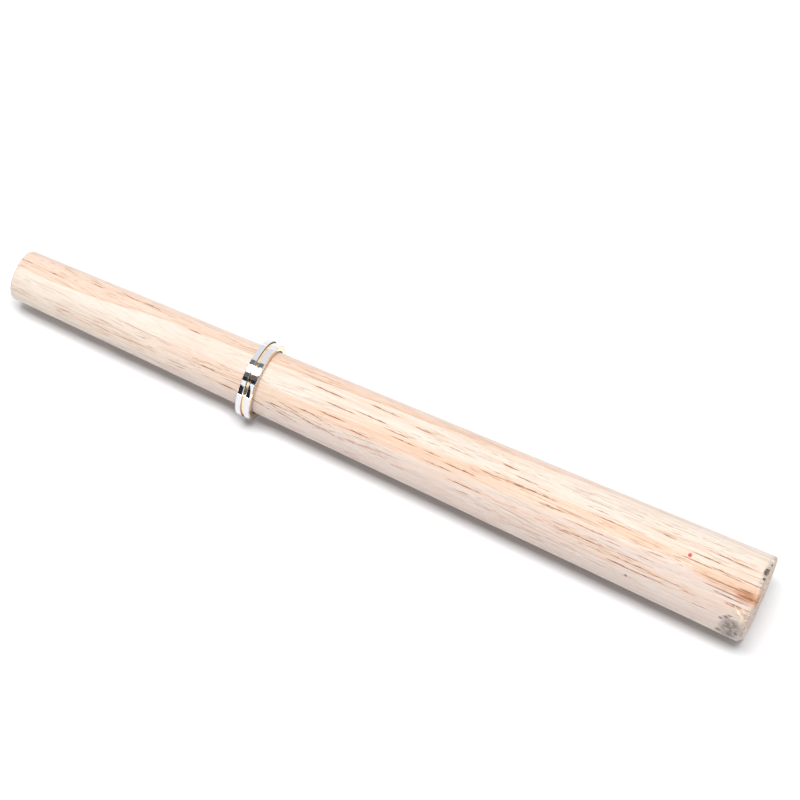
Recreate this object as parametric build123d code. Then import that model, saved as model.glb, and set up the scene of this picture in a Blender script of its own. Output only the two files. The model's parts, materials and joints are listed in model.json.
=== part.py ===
"""A turned wooden ring mandrel, lying on a table, with a two-tone finger ring seated on its taper.

Every piece is first drawn about the X axis with the thin end of the mandrel at x = 0.
The whole assembly is then tilted and lowered until it rests on the table, z = 0,
on two points: the bottom of the ring and the rim of the thick end.
Millimetres, +Z up, thin end towards -X, origin under the middle of the assembly.
"""
from build123d import *
import math
import os

# Wooden mandrel: one straight taper
mandrel_length = 240.0
tip_diameter = 15.4
base_diameter = 26.6
tip_edge_radius = 1.0
base_edge_radius = 0.5

# Finger ring: a gold-coloured core that carries two polished bands, with a channel between them
ring_distance_from_tip = 78.6
ring_width = 4.5
ring_outer_diameter = 24.1
channel_width = 1.0
channel_depth = 0.5
band_setback = 0.06          # how far each band stops short of the core's side face
band_outer_edge_radius = 0.20
band_channel_edge_radius = 0.10
core_edge_radius = 0.15
bore_crown = 0.25            # how much the bore widens from its middle to its ends
seat_clearance = 0.04        # radial gap between the seated ring and the wood

# Worked out from the sizes above
taper_slope = (base_diameter - tip_diameter) / 2 / mandrel_length
ring_middle = ring_distance_from_tip + ring_width / 2
wood_radius_under_ring = tip_diameter / 2 + taper_slope * ring_middle
ring_outer_radius = ring_outer_diameter / 2
core_outer_radius = ring_outer_radius - channel_depth
band_width = ring_width / 2 - channel_width / 2 - band_setback

# The crowned bore comes closest to the wood where its curve is parallel to the taper
bore_curve_radius = ((ring_width / 2) ** 2 + bore_crown ** 2) / (2 * bore_crown)
crown_rise_at_contact = bore_curve_radius * taper_slope ** 2 / 2
bore_radius = wood_radius_under_ring + crown_rise_at_contact + seat_clearance


def turned(outline):
    """Revolve a closed outline of the XY plane (x along the axis, y the radius) about the X axis."""
    return revolve(make_face(outline), axis=Axis.X)


def circles_at(solid, x, radius):
    """The circular edges of a turned solid at one station and radius."""
    edges = solid.edges().filter_by(GeomType.CIRCLE)
    return [
        edge for edge in edges
        if abs(edge.center().X - x) < 1e-3 and abs(edge.radius - radius) < 1e-3
    ]


def make_mandrel():
    """A solid wooden taper with both of its rims rounded over."""
    outline = Polyline(
        (0, 0),
        (0, tip_diameter / 2),
        (mandrel_length, base_diameter / 2),
        (mandrel_length, 0),
        close=True,
    )
    taper = turned(outline)
    taper = fillet(circles_at(taper, 0, tip_diameter / 2), tip_edge_radius)
    return fillet(circles_at(taper, mandrel_length, base_diameter / 2), base_edge_radius)


def make_ring_core():
    """The gold-coloured body of the ring: flat sides, plain outside, crowned comfort-fit bore."""
    near_side = ring_middle - ring_width / 2
    far_side = ring_middle + ring_width / 2
    mouth_radius = bore_radius + bore_crown
    outline = Curve() + [
        ThreePointArc((near_side, mouth_radius), (ring_middle, bore_radius), (far_side, mouth_radius)),
        Line((far_side, mouth_radius), (far_side, core_outer_radius)),
        Line((far_side, core_outer_radius), (near_side, core_outer_radius)),
        Line((near_side, core_outer_radius), (near_side, mouth_radius)),
    ]
    core = turned(outline)
    for side in (near_side, far_side):
        core = fillet(circles_at(core, side, mouth_radius), core_edge_radius)
    return core


def make_ring_band(side):
    """One polished band on the core: side is -1 towards the thin end and +1 towards the thick end."""
    channel_edge = ring_middle + side * channel_width / 2
    outer_edge = channel_edge + side * band_width
    outline = Polyline(
        (channel_edge, core_outer_radius),
        (channel_edge, ring_outer_radius),
        (outer_edge, ring_outer_radius),
        (outer_edge, core_outer_radius),
        close=True,
    )
    band = turned(outline)
    band = fillet(circles_at(band, outer_edge, ring_outer_radius), band_outer_edge_radius)
    return fillet(circles_at(band, channel_edge, ring_outer_radius), band_channel_edge_radius)


def resting_tilt():
    """The angle in degrees that sets the mandrel's thick rim and the ring on one level table.

    Both rest on a rounded edge, so the table touches two circles of the section at once.
    """
    ring_edge = ring_middle - channel_width / 2 - band_width + band_outer_edge_radius
    rim_rounding = base_edge_radius * (math.hypot(1, taper_slope) + taper_slope)
    run = (mandrel_length - base_edge_radius) - ring_edge
    drop = (base_diameter / 2 - rim_rounding) - (ring_outer_radius - band_outer_edge_radius)
    rounding = base_edge_radius - band_outer_edge_radius
    return math.degrees(math.asin(rounding / math.hypot(run, drop)) + math.atan2(drop, run))


def resting_place(parts):
    """The location that tilts the drawn parts and puts the origin under the middle of their box."""
    tilt = Rotation(0, -resting_tilt(), 0)
    box = Compound([tilt * part for part in parts]).bounding_box()
    return Location((-box.center().X, -box.center().Y, -box.min.Z)) * tilt


drawn = {
    "mandrel": make_mandrel(),
    "ring_core": make_ring_core(),
    "ring_band_tip_side": make_ring_band(-1),
    "ring_band_base_side": make_ring_band(1),
}
place = resting_place(list(drawn.values()))

os.makedirs("parts", exist_ok=True)
for node, solid in drawn.items():
    export_step(place * solid, f"parts/{node}.step")
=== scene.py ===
# Looks of a wooden ring mandrel with a two-tone ring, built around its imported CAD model.
import json
import math
import random

import bpy
from mathutils import Matrix, Vector, noise


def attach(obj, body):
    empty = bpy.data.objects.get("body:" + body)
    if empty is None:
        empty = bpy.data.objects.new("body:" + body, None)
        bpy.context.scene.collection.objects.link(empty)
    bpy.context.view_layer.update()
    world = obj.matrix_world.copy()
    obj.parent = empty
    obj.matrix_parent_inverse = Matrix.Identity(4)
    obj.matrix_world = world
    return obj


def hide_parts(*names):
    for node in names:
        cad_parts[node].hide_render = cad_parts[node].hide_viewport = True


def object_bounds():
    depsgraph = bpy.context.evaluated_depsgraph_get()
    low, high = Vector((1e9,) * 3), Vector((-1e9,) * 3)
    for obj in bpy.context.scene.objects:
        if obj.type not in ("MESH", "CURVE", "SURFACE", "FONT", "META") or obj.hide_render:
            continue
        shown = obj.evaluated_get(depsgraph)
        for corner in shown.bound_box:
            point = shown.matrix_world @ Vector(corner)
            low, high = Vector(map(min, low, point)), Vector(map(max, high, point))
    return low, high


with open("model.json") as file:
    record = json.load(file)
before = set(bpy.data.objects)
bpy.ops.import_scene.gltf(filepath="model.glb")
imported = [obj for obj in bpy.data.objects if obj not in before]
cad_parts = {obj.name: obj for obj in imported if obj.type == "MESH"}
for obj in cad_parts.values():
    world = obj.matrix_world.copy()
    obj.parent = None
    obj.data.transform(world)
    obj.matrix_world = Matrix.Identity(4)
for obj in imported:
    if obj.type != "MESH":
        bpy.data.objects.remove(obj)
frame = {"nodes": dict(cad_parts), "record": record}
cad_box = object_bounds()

# ---------------------------------------------------------------------------------------------
# The turned frame: millimetres along the mandrel's axis from its thin end, an angle round the
# axis, and a radius. Pieces are worked out in it and become row-frame vertices at the end.
# ---------------------------------------------------------------------------------------------
MM = 0.001
MOUNTS = {mount["name"]: mount for mount in frame["record"]["mounts"]}
TIP = Vector(MOUNTS["ring_taper"]["pos_m"])
BASE = Vector(MOUNTS["thick_end_face"]["pos_m"])
AXIS = (BASE - TIP).normalized()
LENGTH = (BASE - TIP).length / MM

# FACE is the direction across the axis that the camera looks onto, and EDGE is square to it, down
# the near flank. Angles round the axis are 0 at FACE and grow towards EDGE.
FACE_LEAN = math.radians(22.9)
FRONT = Vector((0, -1, 0))
RISE = FRONT.cross(AXIS).normalized()
FACE = math.cos(FACE_LEAN) * RISE + math.sin(FACE_LEAN) * FRONT
EDGE = AXIS.cross(FACE).normalized()


def turned_point(along, angle, radius):
    """The row-frame point at a station, an angle in radians and a radius."""
    out = math.cos(angle) * FACE + math.sin(angle) * EDGE
    return TIP + (along * AXIS + radius * out) * MM


def node_extent(node):
    """A CAD node's least and greatest radius and station."""
    radii, stations = [], []
    for vertex in frame["nodes"][node].data.vertices:
        offset = vertex.co - TIP
        along = offset.dot(AXIS)
        stations.append(along / MM)
        radii.append((offset - along * AXIS).length / MM)
    return min(radii), max(radii), min(stations), max(stations)


# ---------------------------------------------------------------------------------------------
# Camera
# ---------------------------------------------------------------------------------------------
CAMERA_AZIMUTH = math.radians(26.26)
CAMERA_ELEVATION = math.radians(63.92)
CAMERA_DISTANCE = 0.8348
CAMERA_TARGET = Vector((-0.00204, 0.0174, 0.0))
CAMERA_LENS = 126.0
CAMERA_SENSOR = 36.0


def link(obj):
    bpy.context.scene.collection.objects.link(obj)
    return obj


def aim(obj, target):
    """Turns a camera or lamp so that it looks at a point, with its top upwards."""
    direction = Vector(target) - obj.location
    obj.rotation_mode = "QUATERNION"
    obj.rotation_quaternion = direction.to_track_quat("-Z", "Y")


def make_camera():
    data = bpy.data.cameras.new("camera")
    data.lens = CAMERA_LENS
    data.sensor_width = CAMERA_SENSOR
    data.clip_start = 0.05
    data.clip_end = 50
    camera = link(bpy.data.objects.new("camera", data))
    level = math.cos(CAMERA_ELEVATION)
    back = Vector(
        (
            math.sin(CAMERA_AZIMUTH) * level,
            -math.cos(CAMERA_AZIMUTH) * level,
            math.sin(CAMERA_ELEVATION),
        )
    )
    camera.location = CAMERA_TARGET + CAMERA_DISTANCE * back
    aim(camera, CAMERA_TARGET)
    bpy.context.scene.camera = camera


# ---------------------------------------------------------------------------------------------
# Shader graphs
# ---------------------------------------------------------------------------------------------
def linear(*srgb):
    """Linear colour from 0-255 sRGB components."""
    out = []
    for value in srgb:
        c = value / 255
        out.append(c / 12.92 if c <= 0.04045 else ((c + 0.055) / 1.055) ** 2.4)
    return (*out, 1.0)


class Graph:
    """A shader's node tree, written as nested calls. Inputs are sockets or plain values."""

    def __init__(self, name, tree=None):
        if tree is None:
            self.material = bpy.data.materials.new(name)
            self.material.use_nodes = True
            tree = self.material.node_tree
        self.tree = tree
        self.tree.nodes.clear()

    def node(self, kind, inputs=(), **settings):
        made = self.tree.nodes.new(kind)
        for key, value in settings.items():
            setattr(made, key, value)
        for key, value in dict(inputs).items():
            self.put(made.inputs[key], value)
        return made

    def put(self, socket, value):
        if isinstance(value, bpy.types.NodeSocket):
            self.tree.links.new(value, socket)
        else:
            socket.default_value = value

    def math(self, operation, a, b=0.0, c=0.0, clamp=False):
        made = self.node("ShaderNodeMath", operation=operation, use_clamp=clamp)
        for socket, value in zip(made.inputs, (a, b, c)):
            self.put(socket, value)
        return made.outputs[0]

    def times(self, first, *others):
        for other in others:
            first = self.math("MULTIPLY", first, other)
        return first

    def vector(self, operation, a, b=(0, 0, 0), c=(0, 0, 0)):
        made = self.node("ShaderNodeVectorMath", operation=operation)
        for socket, value in zip(made.inputs, (a, b, c)):
            self.put(socket, value)
        return made.outputs["Value" if operation == "LENGTH" else "Vector"]

    def split(self, vector):
        made = self.node("ShaderNodeSeparateXYZ", {"Vector": vector})
        return made.outputs[0], made.outputs[1], made.outputs[2]

    def join(self, x, y, z):
        return self.node("ShaderNodeCombineXYZ", {"X": x, "Y": y, "Z": z}).outputs[0]

    def noise(self, vector, scale, detail=2.0, roughness=0.5, distortion=0.0):
        """A noise value about 0.5; scale is its cycles per unit along each of the three axes."""
        made = self.node(
            "ShaderNodeTexNoise",
            {
                "Vector": self.vector("MULTIPLY", vector, scale),
                "Scale": 1.0,
                "Detail": detail,
                "Roughness": roughness,
                "Distortion": distortion,
            },
        )
        return made.outputs["Fac"]

    def cells(self, vector, size, seed=0.0):
        """The distance to the nearest of a jittered lattice of points, in cells of a given size."""
        scale = tuple(1 / s for s in size)
        place = self.vector("MULTIPLY_ADD", vector, scale, (seed, seed, seed))
        made = self.node("ShaderNodeTexVoronoi", {"Vector": place, "Scale": 1.0, "Randomness": 1.0})
        return made.outputs["Distance"], made.outputs["Color"]

    def span(self, value, low, high, to_low=0.0, to_high=1.0):
        """Maps low..high to to_low..to_high, clamped."""
        names = ("Value", "From Min", "From Max", "To Min", "To Max")
        made = self.node("ShaderNodeMapRange", dict(zip(names, (value, low, high, to_low, to_high))))
        return made.outputs[0]

    def ease(self, value, low, high, top=1.0):
        """Rises smoothly from 0 at low to top at high. Low may be the greater of the two."""
        names = ("Value", "From Min", "From Max", "To Min", "To Max")
        if low < high:
            ends = (value, low, high, 0.0, top)
        else:
            ends = (value, high, low, top, 0.0)
        made = self.node("ShaderNodeMapRange", dict(zip(names, ends)), interpolation_type="SMOOTHSTEP")
        return made.outputs[0]

    def mix(self, factor, a, b):
        """Colour a where the factor is 0, and colour b where it is 1."""
        made = self.node("ShaderNodeMix", data_type="RGBA", clamp_factor=True)
        self.put(made.inputs["Factor"], factor)
        self.put([s for s in made.inputs if s.name == "A" and s.type == "RGBA"][0], a)
        self.put([s for s in made.inputs if s.name == "B" and s.type == "RGBA"][0], b)
        return [s for s in made.outputs if s.type == "RGBA"][0]

    def marks(self, vector, places):
        """The distance to the nearest mark: 0 at its middle, 1 at its outline.

        Each mark is (station, across, half length, half width); depth isn't looked at.
        """
        nearest = None
        for along, across, length, width in places:
            scale = (1 / length, 0, 1 / width)
            shift = (-along / length, 0, -across / width)
            distance = self.vector("LENGTH", self.vector("MULTIPLY_ADD", vector, scale, shift))
            nearest = distance if nearest is None else self.math("MINIMUM", nearest, distance)
        return nearest

    def bump(self, height, distance, strength=1.0):
        inputs = {"Height": height, "Distance": distance, "Strength": strength}
        return self.node("ShaderNodeBump", inputs).outputs[0]

    def finish(self, **inputs):
        """Adds the surface shader. Underscores in the keywords stand for spaces."""
        named = {key.replace("_", " "): value for key, value in inputs.items()}
        shader = self.node("ShaderNodeBsdfPrincipled", named)
        self.node("ShaderNodeOutputMaterial", {"Surface": shader.outputs[0]})
        return self.material

    def turned_position(self):
        """Millimetres along the axis, towards FACE and towards EDGE, from the thin end."""
        place = self.node("ShaderNodeTexCoord").outputs["Object"]
        turn = Matrix((AXIS, FACE, EDGE)).transposed().to_euler()
        return self.node(
            "ShaderNodeMapping",
            {"Vector": place, "Location": TIP, "Rotation": turn, "Scale": (MM, MM, MM)},
            vector_type="TEXTURE",
        ).outputs[0]


# ---------------------------------------------------------------------------------------------
# Wood
# ---------------------------------------------------------------------------------------------
CREAM = linear(199, 190, 179)
PEACH = linear(201, 178, 162)
TAN = linear(192, 162, 141)
BEIGE = linear(192, 179, 172)
APRICOT = linear(198, 165, 140)
AMBER = linear(188, 142, 107)
ORANGE = linear(164, 108, 68)
STRAW = linear(232, 221, 194)
PORE = linear(140, 92, 60)
PORE_DARK = linear(100, 60, 34)
END_TAN = linear(198, 180, 167)
# Painted shade along the far flank's edge.
FAR_FLANK_SHADE = linear(185, 174, 167)
GREY_DIRT = linear(100, 90, 88)
DARK_DIRT = linear(72, 64, 62)
BLACK_DIRT = linear(34, 30, 29)
RED_INK = linear(172, 44, 54)

# The growth layers lie square to EDGE and run out of the wood towards the thick end. A point's
# layer is its distance towards EDGE plus this much for each millimetre along the axis.
LAYER_DRIFT = 0.0445

# Where pore lines stand out on the face, and how many: first and last station, first and last
# place across as a share of the radius, count, least and greatest half length, half width.
STRONG_PORES = [
    (0, 60, -0.8, -0.4, 6, 2.0, 3.0, 0.10),
    (60, 110, 0.3, 0.7, 4, 3.0, 4.0, 0.11),
    (100, 170, -0.7, 0.4, 17, 2.0, 5.0, 0.13),
    (170, 240, -0.6, 0.6, 16, 2.5, 8.0, 0.12),
]

# Fainter ones, in the same terms.
FAINT_PORES = [
    (15, 80, 0.3, 0.8, 9, 1.5, 3.5, 0.08),
    (110, 180, -0.7, 0.7, 13, 1.0, 3.5, 0.10),
    (180, 240, -0.6, 0.7, 13, 1.5, 3.5, 0.10),
]

# The same for pore lines that cross the axis at a small slope.
PORE_SLOPE = 0.12
SLOPING_PORES = [(85, 110, 0.25, 0.7, 8, 4.0, 5.0, 0.09)]


def pore_lines(seed, zones):
    """Pore lines drawn at random in zones: station, across, half length, half width."""
    rng = random.Random(seed)
    lines = []
    for first, last, low, high, count, shortest, longest, width in zones:
        for i in range(count):
            along = first + (last - first) * (i + rng.random()) / count
            across = rng.uniform(low, high) * (TIP_RADIUS + SLOPE * along)
            length = rng.uniform(shortest, longest)
            lines.append((along, across, length, width * rng.uniform(0.8, 1.2)))
    return lines


def wood_graph(name):
    """A graph with the fields that every cut of this wood shares, in the turned frame."""
    g = Graph(name)
    place = g.turned_position()
    along, out, across = g.split(place)
    wander = g.noise(place, (0.014, 0.10, 0.10), detail=2.0)
    ripple = g.noise(place, (0.06, 0.7, 0.7), detail=2.0)
    layer = g.math("MULTIPLY_ADD", along, LAYER_DRIFT, across)
    layer = g.math("MULTIPLY_ADD", g.math("SUBTRACT", wander, 0.5), 2.2, layer)
    layer = g.math("MULTIPLY_ADD", g.math("SUBTRACT", ripple, 0.5), 0.5, layer)
    return g, place, along, out, across, layer


def layer_colour(g, place, along, layer):
    """The broad bands of the growth layers: peach, cream, peach, beige, and on in turn, with painted
    shade near the far edge at the thin end.
    """
    colour = g.mix(g.ease(layer, 8.4, 10.4), CREAM, BEIGE)
    colour = g.mix(g.ease(layer, 21.5, 23.5), colour, CREAM)
    colour = g.mix(g.ease(layer, 24.0, 24.6), colour, TAN)
    band_edge = g.span(along, 40, 95, 2.4, 4.6)
    band_depth = g.math("SUBTRACT", layer, band_edge)
    band = g.times(g.ease(band_depth, -0.2, 1.0), g.ease(layer, 9.6, 7.4))
    band = g.times(band, g.span(along, 20, 100, 0.12, 0.85), g.span(along, 130, 222, 1.0, 0.15))
    colour = g.mix(band, colour, PEACH)
    colour = g.mix(g.times(band, g.ease(along, 78, 100), 0.55), colour, APRICOT)
    halo = g.noise(place, (0.022, 0.34, 0.34), detail=2.0)
    halo_share = g.times(g.ease(halo, 0.52, 0.66, 0.75), g.span(layer, 9.0, 12.0, 1.0, 0.35))
    colour = g.mix(halo_share, colour, PEACH)
    patches = [(128, -0.2, 16, 1.5), (155, -0.9, 16, 1.9), (196, -2.0, 24, 1.7), (229, -2.0, 18, 1.8)]
    warm = g.marks(place, patches)
    warm = g.math("MULTIPLY_ADD", g.math("SUBTRACT", halo, 0.5), 3.0, warm)
    colour = g.mix(g.ease(warm, 1.5, 0.4, 0.6), colour, APRICOT)
    blush = g.marks(place, [(204, -2.1, 13, 1.5)])
    blush = g.math("MULTIPLY_ADD", g.math("SUBTRACT", halo, 0.5), 1.5, blush)
    colour = g.mix(g.ease(blush, 1.3, 0.5, 0.75), colour, APRICOT)
    near_tip = g.span(along, 24, 54, -0.9, 1.05)
    near_tip = g.math("ADD", near_tip, g.span(along, 2, 12, 0.75, 0.0))
    upper = g.math("ADD", layer, g.math("ADD", near_tip, g.span(along, 58, 130, 0.0, -0.8)))
    top = g.ease(upper, -1.6, -2.1)
    colour = g.mix(top, colour, PEACH)
    rich = g.times(top, g.ease(along, 72, 88), g.ease(along, 180, 150), 0.4)
    colour = g.mix(rich, colour, APRICOT)
    seam = g.times(g.ease(upper, -1.8, -2.1), g.ease(upper, -3.0, -2.1))
    colour = g.mix(g.times(seam, g.span(along, 100, 150, 0.55, 0.8)), colour, TAN)
    # Painted shade: beige towards the far edge near the thin end.
    colour = g.mix(g.ease(layer, -6.2, -8.2, 0.7), colour, BEIGE)
    return colour, top


def swayed(g, place, along, out, across):
    """The position with the grain's slow wander taken out of it, so that streaks follow it."""
    sway = g.noise(place, (0.011, 0.035, 0.035), detail=1.0)
    drop = g.span(along, 30, 120, -0.06, 0.0)
    lift = g.math("MULTIPLY_ADD", g.math("SUBTRACT", sway, 0.5), 5.0, g.times(along, drop))
    return g.join(along, out, g.math("ADD", across, lift))


def fibre_streaks(g, grain, colour, top, clear):
    """Fine streaks along the grain, strong in the darker layers and faint in the clear wood."""
    broad = g.noise(grain, (0.035, 1.1, 1.1), detail=3.0, roughness=0.6)
    fine = g.noise(grain, (0.13, 3.0, 3.0), detail=3.0, roughness=0.7)
    hair = g.noise(grain, (0.4, 6.5, 6.5), detail=1.0)
    colour = g.mix(g.ease(broad, 0.52, 0.72, 0.5), colour, TAN)
    colour = g.mix(g.ease(broad, 0.47, 0.30, 0.5), colour, CREAM)
    colour = g.mix(g.ease(fine, 0.52, 0.68, 0.7), colour, TAN)
    colour = g.mix(g.ease(fine, 0.46, 0.30, 0.7), colour, CREAM)
    lines = g.ease(g.noise(grain, (0.045, 1.9, 1.9), detail=3.0, roughness=0.7), 0.555, 0.61)
    dashes = g.ease(g.noise(grain, (0.14, 2.2, 2.2), detail=2.0, roughness=0.6), 0.60, 0.66)
    patches = g.ease(g.noise(grain, (0.02, 0.25, 0.25), detail=1.0), 0.40, 0.58)
    along, _, _ = g.split(grain)
    upper_share = g.times(top, g.span(along, 70, 90, 0.28, 0.45))
    share = g.math("MAXIMUM", g.span(patches, 0, 1, 0.16, 0.48), upper_share)
    share = g.times(share, g.span(clear, 0.0, 1.0, 1.0, 0.15))
    colour = g.mix(g.times(g.math("MAXIMUM", lines, dashes), share), colour, PORE)
    colour = g.mix(g.ease(hair, 0.56, 0.72, 0.35), colour, TAN)
    return colour, broad, fine, hair


def scattered_pores(g, place, size, radius, seed):
    """Short lines along the grain where a lattice of long thin cells meets the surface."""
    distance, tint = g.cells(place, size, seed)
    red, green, _ = g.split(tint)
    reach = g.span(red, 0.0, 1.0, radius * 0.55, radius)
    line = g.math("SUBTRACT", 1.0, g.math("DIVIDE", distance, reach), clamp=True)
    return g.math("MULTIPLY", g.math("POWER", line, 0.5), g.span(green, 0.0, 1.0, 0.35, 1.0))


def wood_side():
    g, place, along, out, across, layer = wood_graph("wood_side")
    colour, top = layer_colour(g, place, along, layer)
    grain = swayed(g, place, along, out, across)
    below = g.math("ADD", across, g.span(along, 78, 96, 0.0, 3.6))
    clear = g.times(g.ease(below, 1.0, 0.0), g.ease(along, 142, 126), g.math("SUBTRACT", 1.0, top))
    colour, broad, fine, hair = fibre_streaks(g, grain, colour, top, clear)

    # Pores keep to clusters, and the ones that stand out only show on the face side.
    frayed = g.noise(place, (0.5, 4.0, 4.0), detail=2.0)
    cluster = g.ease(g.noise(place, (0.02, 0.22, 0.22), detail=1.0), 0.42, 0.60)
    cluster = g.math("MULTIPLY_ADD", cluster, 0.75, 0.25)
    quiet = g.math("MAXIMUM", clear, g.times(top, g.ease(along, 75, 60, 0.6)))
    cluster = g.times(cluster, g.span(quiet, 0.0, 1.0, 1.0, 0.15))
    long_pores = scattered_pores(g, grain, (17.0, 0.8, 0.8), 0.17, 3.3)
    short_pores = scattered_pores(g, grain, (8.0, 0.6, 0.6), 0.21, 7.9)
    bent = g.join(along, out, g.math("MULTIPLY_ADD", g.math("SUBTRACT", frayed, 0.5), 0.5, across))
    face_side = g.ease(out, -1.0, 1.0)
    strong = g.marks(bent, pore_lines(21, STRONG_PORES))
    faint = g.marks(bent, pore_lines(34, FAINT_PORES))
    fray = g.span(frayed, 0.38, 0.55, 0.4, 1.0)
    strong_line = g.times(g.ease(strong, 1.4, 0.8), face_side, fray)
    faint_line = g.times(g.ease(faint, 1.4, 0.8), face_side, fray)
    slope_across = g.math("MULTIPLY_ADD", along, -PORE_SLOPE, g.split(bent)[2])
    sloping = [
        (at, aside - PORE_SLOPE * at, length, width)
        for at, aside, length, width in pore_lines(55, SLOPING_PORES)
    ]
    sloping_line = g.marks(g.join(along, out, slope_across), sloping)
    sloping_line = g.times(g.ease(sloping_line, 1.4, 0.8), face_side, fray)
    glow = g.times(g.ease(strong, 5.5, 1.0, 0.5), face_side)
    colour = g.mix(glow, colour, APRICOT)
    colour = g.mix(g.times(short_pores, cluster, 0.8), colour, PORE)
    colour = g.mix(g.times(long_pores, cluster, 0.85), colour, PORE)
    colour = g.mix(g.times(faint_line, 0.8), colour, PORE)
    colour = g.mix(sloping_line, colour, PORE)
    colour = g.mix(g.times(strong_line, 0.95), colour, PORE)
    colour = g.mix(g.times(g.ease(strong, 1.0, 0.4, 0.85), face_side, fray), colour, PORE_DARK)

    # The far flank is painted greyer towards its edge, a painted shade.
    width = g.math("MULTIPLY_ADD", along, SLOPE, TIP_RADIUS)
    far_flank_shade = g.ease(g.math("DIVIDE", across, width), -0.84, -0.99, 0.55)
    colour = g.mix(far_flank_shade, colour, FAR_FLANK_SHADE)

    colour = base_figure(g, place, out, across, along, colour)
    colour, pits = handling_marks(g, place, out, along, across, colour)

    relief = g.math("MULTIPLY_ADD", fine, 0.8, hair)
    for groove, depth in ((long_pores, -1.2), (short_pores, -0.6), (strong_line, -1.5), (pits, -2.0)):
        relief = g.math("MULTIPLY_ADD", groove, depth, relief)
    bump = g.bump(relief, 0.00005, 0.8)
    roughness = g.span(broad, 0.3, 0.7, 0.48, 0.62)
    return g.finish(
        Base_Color=colour,
        Roughness=roughness,
        Normal=bump,
        Specular_IOR_Level=0.35,
        Sheen_Weight=0.12,
        Sheen_Roughness=0.4,
    )


def base_figure(g, place, out, across, along, colour):
    """The orange-brown figure that runs out at the thick end."""
    streak = g.noise(place, (0.10, 1.1, 1.1), detail=3.0, roughness=0.6)
    mottle = g.noise(place, (0.28, 1.0, 1.0), detail=3.0, roughness=0.6)
    edge = g.math("SUBTRACT", g.math("ADD", streak, mottle), 1.0)
    edge = g.math("MULTIPLY", edge, 1.2)
    reach = g.math("ADD", g.marks(place, [(232.0, -0.1, 15.0, 2.2), (238.0, 0.1, 6.5, 3.0)]), edge)
    reach = g.times(g.ease(reach, 1.2, 0.3), g.ease(out, 0.0, 3.0))
    colour = g.mix(g.times(reach, g.span(streak, 0.40, 0.60, 0.35, 1.0)), colour, AMBER)
    heart = g.math("ADD", g.marks(place, [(237.4, 0.6, 4.6, 2.2)]), edge)
    heart = g.times(g.ease(heart, 1.2, 0.3), g.ease(out, 0.0, 3.0))
    colour = g.mix(g.times(heart, g.span(mottle, 0.38, 0.60, 0.3, 1.0)), colour, ORANGE)
    lines = [
        (231.0, -0.2, 8.5, 0.20),
        (231.5, 1.7, 7.0, 0.18),
        (233.5, 2.8, 5.5, 0.14),
        (237.4, 0.9, 2.8, 0.32),
        (236.6, -0.7, 2.2, 0.22),
        (228.5, -3.1, 4.0, 0.15),
        (236.4, -3.2, 4.0, 0.18),
        (231.5, -2.6, 3.4, 0.13),
    ]
    wavy = g.join(along, out, g.math("ADD", across, g.math("MULTIPLY", edge, 0.35)))
    brown = g.times(g.ease(g.marks(wavy, lines), 1.4, 0.5, 0.72), g.ease(out, 0.0, 3.0))
    return g.mix(brown, colour, PORE_DARK)


def handling_marks(g, place, out, along, across, colour):
    """A red ink dot, black spots on the rim and grey dirt by the worn corner."""
    face_side = g.ease(out, -1.0, 1.0)
    speckle = g.noise(place, (0.7, 0.7, 0.7), detail=3.0, roughness=0.6)
    blurred = g.math("MULTIPLY", g.math("SUBTRACT", speckle, 0.5), 1.4)

    dirt = g.math("ADD", g.marks(place, [(236.0, 10.4, 3.6, 3.0), (235.6, 12.2, 3.6, 1.0)]), blurred)
    dirt = g.times(g.ease(dirt, 1.2, 0.5), g.span(speckle, 0.38, 0.56, 0.45, 1.0), face_side)
    colour = g.mix(g.times(dirt, 0.94), colour, GREY_DIRT)
    specks = [
        (232.7, 8.9, 0.7, 0.35),
        (233.8, 8.1, 1.0, 0.40),
        (235.0, 7.4, 0.9, 0.30),
        (232.8, 12.2, 0.8, 0.35),
        (236.2, 12.3, 1.1, 0.30),
        (238.0, 11.4, 0.6, 0.5),
        (203.4, 8.9, 0.5, 0.35),
    ]
    speck = g.math("ADD", g.marks(place, specks), blurred)
    colour = g.mix(g.times(g.ease(speck, 1.3, 0.3, 0.75), face_side), colour, DARK_DIRT)

    aside = g.math("ABSOLUTE", g.math("SUBTRACT", across, 0.6))
    rim = g.times(g.ease(along, 238.0, 239.8), g.ease(aside, 2.2, 4.2), g.ease(speckle, 0.3, 0.6, 0.6))
    colour = g.mix(rim, colour, GREY_DIRT)

    spots = [(239.3, -8.1, 0.8, 1.4), (239.5, -5.9, 0.5, 0.4), (239.9, -10.3, 0.25, 0.4)]
    spot = g.math("ADD", g.marks(place, spots), g.math("MULTIPLY", blurred, 0.6))
    spot = g.times(g.ease(spot, 1.15, 0.5), face_side)
    colour = g.mix(g.times(spot, 0.92), colour, BLACK_DIRT)

    dot = g.math("ADD", g.marks(place, [(218.0, -3.7, 0.6, 0.6)]), g.math("MULTIPLY", blurred, 0.2))
    dot = g.times(g.ease(dot, 1.2, 0.75), face_side)
    colour = g.mix(g.times(dot, 0.93), colour, RED_INK)
    return colour, spot


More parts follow.
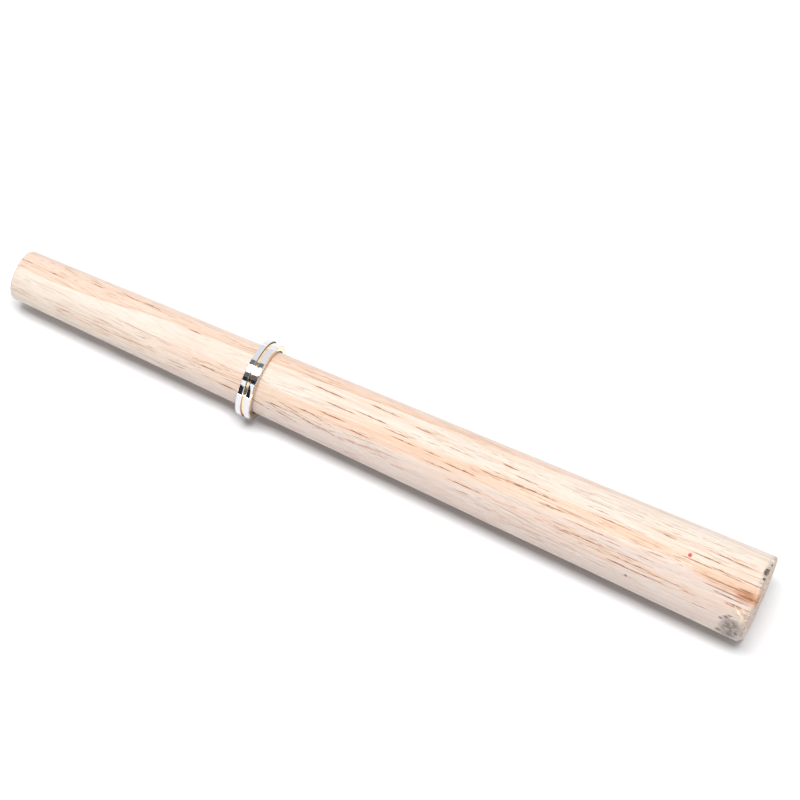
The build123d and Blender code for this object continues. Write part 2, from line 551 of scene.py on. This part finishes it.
def wood_end():
    g, place, along, out, across, layer = wood_graph("wood_end")
    colour, _ = layer_colour(g, place, along, layer)
    colour = g.mix(0.55, colour, END_TAN)

    # Growth rings edge on, rays across them, and the pores cut through as dots.
    bow = g.math("MULTIPLY", g.math("MULTIPLY", out, out), 0.011)
    ring = g.math("ADD", layer, bow)
    ring = g.math("MULTIPLY_ADD", g.noise(place, (0.3, 0.3, 0.3), detail=2.0), 0.8, ring)
    wave = g.math("SINE", g.math("MULTIPLY", ring, 2 * math.pi / 1.9))
    colour = g.mix(g.ease(wave, 0.1, 1.0, 0.35), colour, TAN)
    colour = g.mix(g.ease(wave, 0.82, 1.0, 0.2), colour, PORE)
    colour = base_figure(g, place, out, across, along, colour)
    rays = g.noise(place, (0.4, 0.5, 6.0), detail=2.0)
    colour = g.mix(g.ease(rays, 0.55, 0.75, 0.35), colour, CREAM)
    distance, _ = g.cells(place, (3.0, 0.42, 0.42), 1.7)
    dots = g.ease(distance, 0.26, 0.12)
    colour = g.mix(g.times(dots, 0.35), colour, PORE_DARK)

    # Saw marks run across the face, and handling has left it grey in patches.
    saw = g.noise(place, (0.4, 2.4, 0.12), detail=3.0, roughness=0.6)
    colour = g.mix(g.ease(saw, 0.52, 0.72, 0.4), colour, TAN)
    grime = g.noise(place, (0.3, 0.22, 0.22), detail=4.0, roughness=0.62)
    colour = g.mix(g.ease(grime, 0.52, 0.72, 0.3), colour, GREY_DIRT)
    relief = g.math("MULTIPLY_ADD", dots, -1.0, g.math("MULTIPLY", saw, 1.6))
    relief = g.math("ADD", relief, g.noise(place, (3.0, 5.0, 5.0), detail=2.0))
    bump = g.bump(relief, 0.0001, 0.8)
    return g.finish(Base_Color=colour, Roughness=0.75, Normal=bump, Specular_IOR_Level=0.2)


def wood_fibre():
    g = Graph("wood_fibre")
    place = g.turned_position()
    tone = g.noise(place, (0.8, 2.0, 2.0), detail=2.0)
    colour = g.mix(g.ease(tone, 0.45, 0.75), STRAW, TAN)
    bump = g.bump(g.noise(place, (2.0, 14.0, 14.0), detail=2.0), 0.00002, 0.6)
    return g.finish(Base_Color=colour, Roughness=0.6, Normal=bump, Specular_IOR_Level=0.3)


# ---------------------------------------------------------------------------------------------
# Metal
# ---------------------------------------------------------------------------------------------
WHITE_METAL = linear(223, 223, 227)
GOLD = linear(246, 222, 192)
GOLD_DEEP = linear(226, 182, 132)
# Painted shade for the tip-side band's wall of the channel.
CHANNEL_WALL_SHADE = linear(74, 58, 44)
# Dull bore metal, darkened further as painted shade in the gap against the wood.
BORE_DULL_AND_SHADE = linear(60, 42, 28)


def polishing_lines(g, place):
    """Fine lines round the ring, as a polishing wheel leaves them."""
    lines = g.noise(place, (16.0, 0.22, 0.22), detail=3.0, roughness=0.7)
    scratches = g.noise(place, (5.0, 1.6, 1.6), detail=3.0, roughness=0.75, distortion=0.6)
    return lines, scratches


def white_metal():
    g = Graph("white_metal")
    place = g.turned_position()
    lines, scratches = polishing_lines(g, place)
    smear = g.noise(place, (0.5, 0.35, 0.35), detail=3.0)
    roughness = g.math("ADD", g.span(smear, 0.35, 0.75, 0.03, 0.09), g.span(lines, 0.5, 0.8, 0.0, 0.05))
    bump = g.bump(g.math("ADD", lines, g.math("MULTIPLY", scratches, 0.6)), 0.000003, 0.2)
    return g.finish(Base_Color=WHITE_METAL, Metallic=1.0, Roughness=roughness, Normal=bump)


def gold_metal():
    g = Graph("gold_metal")
    place = g.turned_position()
    lines, scratches = polishing_lines(g, place)
    wear = g.noise(place, (1.2, 0.5, 0.5), detail=3.0)
    colour = g.mix(g.ease(wear, 0.42, 0.68, 0.6), GOLD, GOLD_DEEP)
    roughness = g.math("ADD", g.span(wear, 0.3, 0.75, 0.08, 0.16), g.span(lines, 0.5, 0.8, 0.0, 0.06))
    bump = g.bump(g.math("ADD", lines, scratches), 0.000005, 0.3)
    return g.finish(Base_Color=colour, Metallic=1.0, Roughness=roughness, Normal=bump)


def shaded_recess_metal(name, shade_colour, below):
    """Metal in recesses, painted dark as painted shade, and its colour low on the near flank."""
    g = Graph(name)
    place = g.turned_position()
    lines, scratches = polishing_lines(g, place)
    colour = g.mix(g.ease(scratches, 0.45, 0.75, 0.3), shade_colour, GOLD_DEEP)
    _, _, across = g.split(place)
    colour = g.mix(g.ease(across, 5.0, 8.0, 0.7), colour, below)
    bump = g.bump(lines, 0.00001, 0.5)
    return g.finish(Base_Color=colour, Metallic=0.85, Roughness=0.45, Normal=bump)


# ---------------------------------------------------------------------------------------------
# Meshes
# ---------------------------------------------------------------------------------------------
def mesh_object(name, vertices, faces, materials, slots=None):
    """A smooth-shaded mesh in the scene. Slots is each face's material index."""
    data = bpy.data.meshes.new(name)
    data.from_pydata(vertices, [], faces)
    for material in materials:
        data.materials.append(material)
    if slots is not None:
        data.polygons.foreach_set("material_index", slots)
    data.polygons.foreach_set("use_smooth", [True] * len(data.polygons))
    data.update()
    return link(bpy.data.objects.new(name, data))


def arc(centre, radius, start, end, steps):
    """Points (station, radius) on a circular arc of a turned outline, angles in degrees."""
    points = []
    for i in range(steps + 1):
        angle = math.radians(start + (end - start) * i / steps)
        points.append((centre[0] + radius * math.cos(angle), centre[1] + radius * math.sin(angle)))
    return points


def straight(start, end, steps):
    """Points between two, without the ends."""
    return [
        (start[0] + (end[0] - start[0]) * i / steps, start[1] + (end[1] - start[1]) * i / steps)
        for i in range(1, steps)
    ]


def turned_ring(name, outline, segments, materials, slots=None):
    """Revolves a closed outline that doesn't reach the axis. Slots has one value for each point,
    the material of the face from that point to the next."""
    count = len(outline)
    vertices = []
    for i in range(segments):
        angle = 2 * math.pi * i / segments
        vertices += [turned_point(along, angle, radius) for along, radius in outline]
    faces = []
    for i in range(segments):
        here, there = i * count, (i + 1) % segments * count
        for j in range(count):
            k = (j + 1) % count
            faces.append((here + j, here + k, there + k, there + j))
    face_slots = (slots or [0] * count) * segments
    return mesh_object(name, vertices, faces, materials, face_slots)


# ---------------------------------------------------------------------------------------------
# Mandrel
# ---------------------------------------------------------------------------------------------
TIP_RADIUS = 7.7
BASE_RADIUS = 13.3
TIP_ROUNDING = 1.2
BASE_ROUNDING = 0.5
SLOPE = (BASE_RADIUS - TIP_RADIUS) / LENGTH
ROUND_STEPS = 288
END_RINGS = 10
RIM_ZONE = 4.5

# Wear on the thick rim: middle angle, half width in degrees, depth and length in millimetres.
RIM_WEAR = [
    (86, 25, 1.1, 1.5),
    (24, 5, 0.35, 1.7),
    (12, 3, 0.15, 0.6),
    (-26, 2, 0.25, 0.5),
    (-37, 5, 0.40, 0.8),
    (-50, 3, 0.20, 0.5),
    (-96, 9, 0.25, 0.7),
    (128, 7, 0.30, 0.8),
    (171, 13, 0.35, 0.9),
    (214, 4, 0.30, 0.7),
    (238, 8, 0.22, 0.5),
]
TIP_WEAR = [(-17, 6, 0.15, 0.6), (64, 10, 0.20, 0.9), (150, 14, 0.25, 0.9), (-100, 9, 0.2, 0.7)]


def worn_away(wear, angle, depth):
    """How much of the radius is gone at an angle in degrees, this far in from an end face."""
    gone = 0.0
    for middle, half_width, cut, length in wear:
        aside = abs((angle - middle + 180) % 360 - 180) / half_width
        if aside < 1 and depth < length:
            gone = max(gone, cut * (1 - aside ** 2) * (1 - depth / length))
    return gone


def ragged(angle, frequency, seed):
    """A value from 0 to 1 that varies round the rim."""
    turn = math.radians(angle)
    place = Vector((math.cos(turn) * frequency, math.sin(turn) * frequency, seed))
    return 0.5 + 0.5 * noise.noise(place)


def wood_radius(along, angle, radius):
    """The turned radius less the lathe's waviness and the wear at both rims."""
    turn = math.radians(angle)
    wave = noise.noise(Vector((along / 26, math.cos(turn) * 0.9, math.sin(turn) * 0.9)))
    flutter = noise.noise(Vector((along / 5, math.cos(turn) * 3, math.sin(turn) * 3)))
    ends = min(along, LENGTH - along) / 6
    calm = max(0.0, min(1.0, ends))
    radius -= calm * (0.045 * (0.5 + 0.5 * wave) + 0.012 * (0.5 + 0.5 * flutter))
    base_depth = LENGTH - along
    radius -= worn_away(RIM_WEAR, angle, base_depth)
    radius -= worn_away(TIP_WEAR, angle, along)
    if base_depth < 0.7:
        radius -= 0.14 * ragged(angle, 26, 4.1) ** 2 * (1 - base_depth / 0.7)
    if along < 0.9:
        radius -= 0.08 * ragged(angle, 14, 9.3) ** 2 * (1 - along / 0.9)
    return radius


def mandrel_side_points():
    """Points (station, radius) of the turned side, from the thin rim to the thick one."""
    lean = math.degrees(math.atan(SLOPE))
    spread = math.hypot(1, SLOPE)
    tip_centre = (TIP_ROUNDING, TIP_RADIUS + SLOPE * TIP_ROUNDING - TIP_ROUNDING * spread)
    base_centre = (
        LENGTH - BASE_ROUNDING,
        BASE_RADIUS - SLOPE * BASE_ROUNDING - BASE_ROUNDING * spread,
    )
    tip_edge = arc(tip_centre, TIP_ROUNDING, 180, 90 + lean, 8)
    base_edge = arc(base_centre, BASE_ROUNDING, 90 + lean, 0, 6)
    zone = (LENGTH - RIM_ZONE, TIP_RADIUS + SLOPE * (LENGTH - RIM_ZONE))
    points = tip_edge + straight(tip_edge[-1], zone, 176) + [zone]
    return points + straight(zone, base_edge[0], 18) + base_edge


def make_mandrel():
    side = mandrel_side_points()
    rows = []
    for along, radius in side:
        row = [wood_radius(along, 360 * i / ROUND_STEPS, radius) for i in range(ROUND_STEPS)]
        rows.append((along, row, False))
    tip_rim, base_rim = rows[0][1], rows[-1][1]
    tip_face = [(0.0, [r * i / END_RINGS for r in tip_rim], True) for i in range(1, END_RINGS)]
    base_face = [(LENGTH, [r * i / END_RINGS for r in base_rim], True) for i in range(1, END_RINGS)]
    rows = tip_face + rows + base_face[::-1]

    vertices = [turned_point(0, 0, 0)]
    for along, row, _ in rows:
        for i, radius in enumerate(row):
            vertices.append(turned_point(along, 2 * math.pi * i / ROUND_STEPS, radius))
    vertices.append(turned_point(LENGTH, 0, 0))
    faces, slots = [], []
    for i in range(ROUND_STEPS):
        faces.append((0, 1 + i, 1 + (i + 1) % ROUND_STEPS))
        slots.append(1)
    for row in range(len(rows) - 1):
        here, there = 1 + row * ROUND_STEPS, 1 + (row + 1) * ROUND_STEPS
        end_face = rows[row][2] or rows[row + 1][2]
        for i in range(ROUND_STEPS):
            k = (i + 1) % ROUND_STEPS
            faces.append((here + i, there + i, there + k, here + k))
            slots.append(1 if end_face else 0)
    last = 1 + (len(rows) - 1) * ROUND_STEPS
    for i in range(ROUND_STEPS):
        faces.append((len(vertices) - 1, last + (i + 1) % ROUND_STEPS, last + i))
        slots.append(1)
    return mesh_object("mandrel_wood", vertices, faces, [wood_side(), wood_end()], slots)


def boxed(point):
    """The nearest point inside the CAD box."""
    return Vector([min(max(c, low), high) for c, low, high in zip(point, *cad_box)])


def sliver(vertices, faces, path, thickness):
    """Adds a closed four-sided sliver that tapers to a point along a path of turned-frame points."""
    start = len(vertices)
    last = len(path) - 1
    for step, (along, angle, radius) in enumerate(path[:-1]):
        half = thickness * (1 - 0.75 * step / last)
        swing = half / radius
        for offset, lift in ((-swing, 0), (0, half), (swing, 0), (0, -half)):
            vertices.append(boxed(turned_point(along, angle + offset, radius + lift)))
    vertices.append(boxed(turned_point(*path[-1])))
    faces.append((start, start + 1, start + 2, start + 3))
    for step in range(last - 1):
        for k in range(4):
            a = start + 4 * step + k
            b = start + 4 * step + (k + 1) % 4
            faces.append((a, a + 4, b + 4, b))
    for k in range(4):
        a = start + 4 * (last - 1) + k
        b = start + 4 * (last - 1) + (k + 1) % 4
        faces.append((a, len(vertices) - 1, b))


# Long splinters at the chipped place: length, first and last angle in degrees, thickness.
SPLINTERS = [(4.8, 19, 33, 0.22), (3.7, 24, 36, 0.20), (2.6, 18, 27, 0.17), (2.0, 33, 38, 0.15)]


def make_rim_fibres():
    """Torn fibres on the thick rim, with long splinters at the chipped place."""
    rng = random.Random(5)
    vertices, faces = [], []

    def surface(along, degrees):
        return wood_radius(along, degrees, TIP_RADIUS + SLOPE * along)

    for length, first, last, thickness in SPLINTERS:
        splinter = []
        for step in range(9):
            share = step / 8
            along = LENGTH - 0.1 - length * (1 - share)
            degrees = first + (last - first) * share
            lift = -0.05 + 0.28 * share
            splinter.append((along, math.radians(degrees), surface(along, degrees) + lift))
        sliver(vertices, faces, splinter, thickness)

    for _ in range(90):
        degrees = rng.choice((rng.uniform(0, 360), rng.gauss(22, 9), rng.gauss(-30, 14)))
        along = LENGTH - rng.uniform(0.5, 1.3)
        reach = LENGTH - along - 0.02
        drift = rng.uniform(-1.6, 1.6)
        lift = rng.uniform(0.02, 0.22)
        path = []
        for step in range(5):
            share = step / 4
            place = along + reach * share
            turn = degrees + drift * share
            path.append((place, math.radians(turn), surface(place, turn) - 0.04 + lift * share ** 2))
        sliver(vertices, faces, path, rng.uniform(0.03, 0.07))
    return mesh_object("mandrel_rim_fibres", vertices, faces, [wood_fibre()])


# ---------------------------------------------------------------------------------------------
# Ring
# ---------------------------------------------------------------------------------------------
RING_SEGMENTS = 288
BORE_CROWN = 0.25
CORE_ROUNDING = 0.30
BAND_SIDE_ROUNDING = 0.12
BAND_CHANNEL_ROUNDING = 0.10
TIP_BAND_DOME = 0.002
BASE_BAND_DOME = 0.018
CORE_EDGE_BREAK = 0.04


def make_ring_core(materials):
    """The core. Its bore opens out at both ends, and is dull metal darkened further as painted shade in
    the gap against the wood.
    """
    bore, outer, near, far = node_extent("ring_core")
    middle, half = (near + far) / 2, (far - near) / 2
    curve = (half ** 2 + BORE_CROWN ** 2) / (2 * BORE_CROWN)
    bore_points = []
    reach = half - CORE_ROUNDING
    for i in range(13):
        x = -reach + 2 * reach * i / 12
        bore_points.append((middle + x, bore + curve - math.sqrt(curve ** 2 - x ** 2)))
    mouth = bore_points[0][1] + CORE_ROUNDING
    outline = list(bore_points)
    outline += arc((far - CORE_ROUNDING, mouth), CORE_ROUNDING, -90, 0, 5)[1:]
    shoulder = outer - CORE_EDGE_BREAK
    first, last = near + CORE_EDGE_BREAK, far - CORE_EDGE_BREAK
    outline += straight((far, mouth), (far, shoulder), 8)
    outline += [(far, shoulder), (last, outer)]
    outline += straight((last, outer), (first, outer), 30)
    outline += [(first, outer), (near, shoulder)]
    outline += straight((near, shoulder), (near, mouth), 8)
    outline += arc((near + CORE_ROUNDING, mouth), CORE_ROUNDING, 180, 270, 5)[:-1]
    slots = [1] * (len(bore_points) + 3) + [0] * (len(outline) - len(bore_points) - 6) + [1] * 3
    return turned_ring("ring_core_gold", outline, RING_SEGMENTS, materials, slots)


def make_ring_band(node, side, dome, materials):
    """One band. Its outside is domed by a hair, which bends what it reflects."""
    inner, outer, near, far = node_extent(node)
    if side < 0:
        low_round, high_round = BAND_SIDE_ROUNDING, BAND_CHANNEL_ROUNDING
    else:
        low_round, high_round = BAND_CHANNEL_ROUNDING, BAND_SIDE_ROUNDING
    low, high = near + low_round, far - high_round
    shoulder = outer - dome
    top = []
    for i in range(1, 16):
        share = i / 16
        top.append((low + (high - low) * share, shoulder + dome * 4 * share * (1 - share)))
    near_wall = [(near, inner)]
    near_round = arc((near + low_round, shoulder - low_round), low_round, 180, 90, 6)
    far_round = arc((far - high_round, shoulder - high_round), high_round, 90, 0, 6)
    outline = near_wall + near_round + top + far_round + [(far, inner)]
    # The tip-side band's wall of the channel is painted dark, a painted shade in the channel.
    slots = [0] * len(outline)
    if side < 0:
        slots[-2] = 1
    outline.reverse()
    slots = slots[-2::-1] + slots[-1:]
    return turned_ring(node + "_polished", outline, RING_SEGMENTS, materials, slots)


# ---------------------------------------------------------------------------------------------
# Studio. Places in the sky are given by their elevation in the plane square to the mandrel:
# 0 is the horizon on the near side, 90 is overhead and 180 the horizon behind.
# ---------------------------------------------------------------------------------------------
FLOOR_HALF = 6.0
FLAG_LEFT = -0.80
FLAG_RIGHT = -0.04


def make_floor():
    h = FLOOR_HALF
    floor = mesh_object(
        "floor", [(-h, -h, 0), (h, -h, 0), (h, h, 0), (-h, h, 0)], [(0, 1, 2, 3)], []
    )
    g = Graph("floor_white")
    away = g.vector("LENGTH", g.node("ShaderNodeTexCoord").outputs["Object"])
    white = g.finish(
        Base_Color=(0.69, 0.69, 0.70, 1),
        Roughness=0.8,
        Emission_Color=(1, 1, 1, 1),
        Emission_Strength=g.ease(away, 0.6, 3.2, 0.62),
    )
    floor.data.materials.append(white)


def sky_place(elevation, distance, sideways=0.0):
    angle = math.radians(elevation)
    return Vector((sideways, -math.cos(angle) * distance, math.sin(angle) * distance))


def softbox(name, low, high, distance, length, radiance, sideways=0.0):
    """An area lamp that fills the sky from one elevation to another, long in X."""
    data = bpy.data.lights.new(name, "AREA")
    data.shape = "RECTANGLE"
    data.size = length
    data.size_y = 2 * distance * math.tan(math.radians((high - low) / 2))
    data.energy = math.pi * radiance * data.size * data.size_y
    lamp = link(bpy.data.objects.new(name, data))
    lamp.location = sky_place((low + high) / 2, distance, sideways)
    aim(lamp, (sideways, 0, 0))


def dark_card(name, corners, distance, shade):
    """A dark studio flag. Its corners are (sideways, elevation)."""
    points = [sky_place(elevation, distance, sideways) for sideways, elevation in corners]
    card = mesh_object(name, points, [tuple(range(len(points)))], [])
    g = Graph(name)
    card.data.materials.append(g.finish(Base_Color=(shade, shade, shade, 1), Roughness=1.0))


def make_world():
    """A pale room: bright behind and round the horizon, dim high up on the near side."""
    world = bpy.data.worlds.new("studio")
    world.use_nodes = True
    g = Graph("studio", world.node_tree)
    _, depth, height = g.split(g.node("ShaderNodeTexCoord").outputs["Generated"])
    behind = g.ease(depth, -0.15, 0.25)
    upper = g.span(behind, 0.0, 1.0, 0.04, 1.0)
    horizon = g.span(behind, 0.0, 1.0, 5.4, 1.3)
    glow = g.ease(height, 0.17, 0.10)
    strength = g.math("ADD", g.times(horizon, glow), g.times(upper, g.math("SUBTRACT", 1.0, glow)))
    background = g.node("ShaderNodeBackground", {"Color": (1, 1, 1, 1), "Strength": strength})
    g.node("ShaderNodeOutputWorld", {"Surface": background.outputs[0]})
    bpy.context.scene.world = world


def make_studio():
    bpy.context.scene.view_settings.view_transform = "Standard"
    make_world()
    make_floor()
    softbox("softbox_top", 77, 94, 1.5, 0.9, 22.2)
    softbox("softbox_ring", 71, 94, 1.52, 0.40, 2.0, sideways=-0.52)
    softbox("softbox_front", 0, 46, 1.7, 0.6, 1.2, sideways=-0.38)
    slant = [(FLAG_LEFT, 2), (-0.30, 2), (-0.39, 26), (-0.41, 28), (-0.51, 39), (FLAG_LEFT, 39)]
    dark_card("flag_front", slant, 1.5, 0.01)
    for name, low, high, shade in (
        ("flag_camera", 46, 57, 0.01),
        ("flag_overhead", 57, 71, 0.14),
        ("flag_back", 94, 110, 0.19),
    ):
        corners = [(FLAG_LEFT, low), (FLAG_RIGHT, low), (FLAG_RIGHT, high), (FLAG_LEFT, high)]
        dark_card(name, corners, 1.6, shade)


# ---------------------------------------------------------------------------------------------
# The scene
# ---------------------------------------------------------------------------------------------
make_camera()
make_studio()

mandrel = make_mandrel()
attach(mandrel, "mandrel")
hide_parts("mandrel")

rim_fibres = make_rim_fibres()
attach(rim_fibres, "mandrel")

# The bore and its mouths carry painted shade.
core = make_ring_core([gold_metal(), shaded_recess_metal("bore_shade_metal", BORE_DULL_AND_SHADE, BORE_DULL_AND_SHADE)])
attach(core, "ring")
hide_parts("ring_core")

# The channel wall carries painted shade.
band_metals = [white_metal(), shaded_recess_metal("channel_wall_shade_metal", CHANNEL_WALL_SHADE, GOLD_DEEP)]
for node, side, dome in (
    ("ring_band_tip_side", -1, TIP_BAND_DOME),
    ("ring_band_base_side", 1, BASE_BAND_DOME),
):
    band = make_ring_band(node, side, dome, band_metals)
    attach(band, "ring")
    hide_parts(node)
